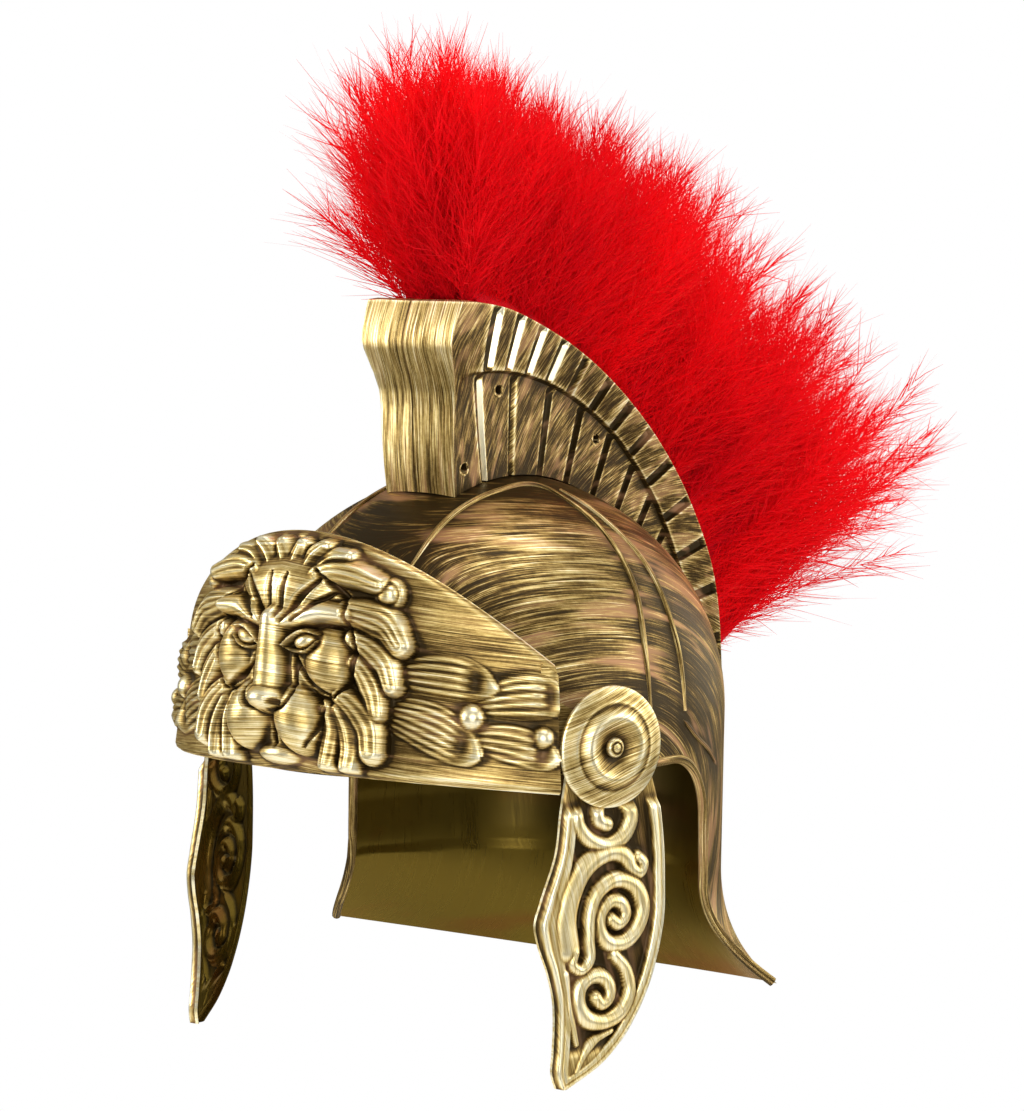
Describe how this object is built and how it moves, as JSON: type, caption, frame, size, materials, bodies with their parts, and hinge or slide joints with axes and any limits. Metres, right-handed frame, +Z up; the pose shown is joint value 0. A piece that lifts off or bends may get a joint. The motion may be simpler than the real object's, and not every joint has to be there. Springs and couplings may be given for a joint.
{
  "type": "crested helmet",
  "caption": "Centurion-style costume helmet: moulded dome with flared neck guard, lion-mask visor, swinging cheek guards, ribbed crest box and tall feather plume.",
  "frame": {"origin": "inside of the crown, on the dome's upright axis, where the dome sits on the head", "axes": "+Z up, the face looks along -Y, +X is the wearer's left"},
  "size_m": [0.219, 0.4045, 0.3943],
  "materials": {
    "gold_shell": "moulded plastic with brushed antique gold paint",
    "pale_gold": "moulded plastic with pale antique gold on the raised forms",
    "plume": "fluffy red feathers"
  },
  "bodies": {
    "helmet": {"dome": "gold_shell", "visor": "pale_gold", "crest_holder_left": "gold_shell", "crest_holder_right": "gold_shell", "plume": "plume", "rosette_left": "pale_gold", "rosette_right": "pale_gold", "rivet_left": "pale_gold", "rivet_right": "pale_gold"},
    "cheek_left": {"cheek_guard_left": "pale_gold"},
    "cheek_right": {"cheek_guard_right": "pale_gold"}
  },
  "joints": [
    {"name": "cheek_left_hinge", "type": "hinge", "parent": "helmet", "child": "cheek_left", "pos_m": [0.08313, -0.041, -0.0915], "axis": [0.9511, -0.309, 0], "range_deg": [-20, 40]},
    {"name": "cheek_right_hinge", "type": "hinge", "parent": "helmet", "child": "cheek_right", "pos_m": [-0.08313, -0.041, -0.0915], "axis": [0.9511, 0.309, 0], "range_deg": [-20, 40]}
  ]
}
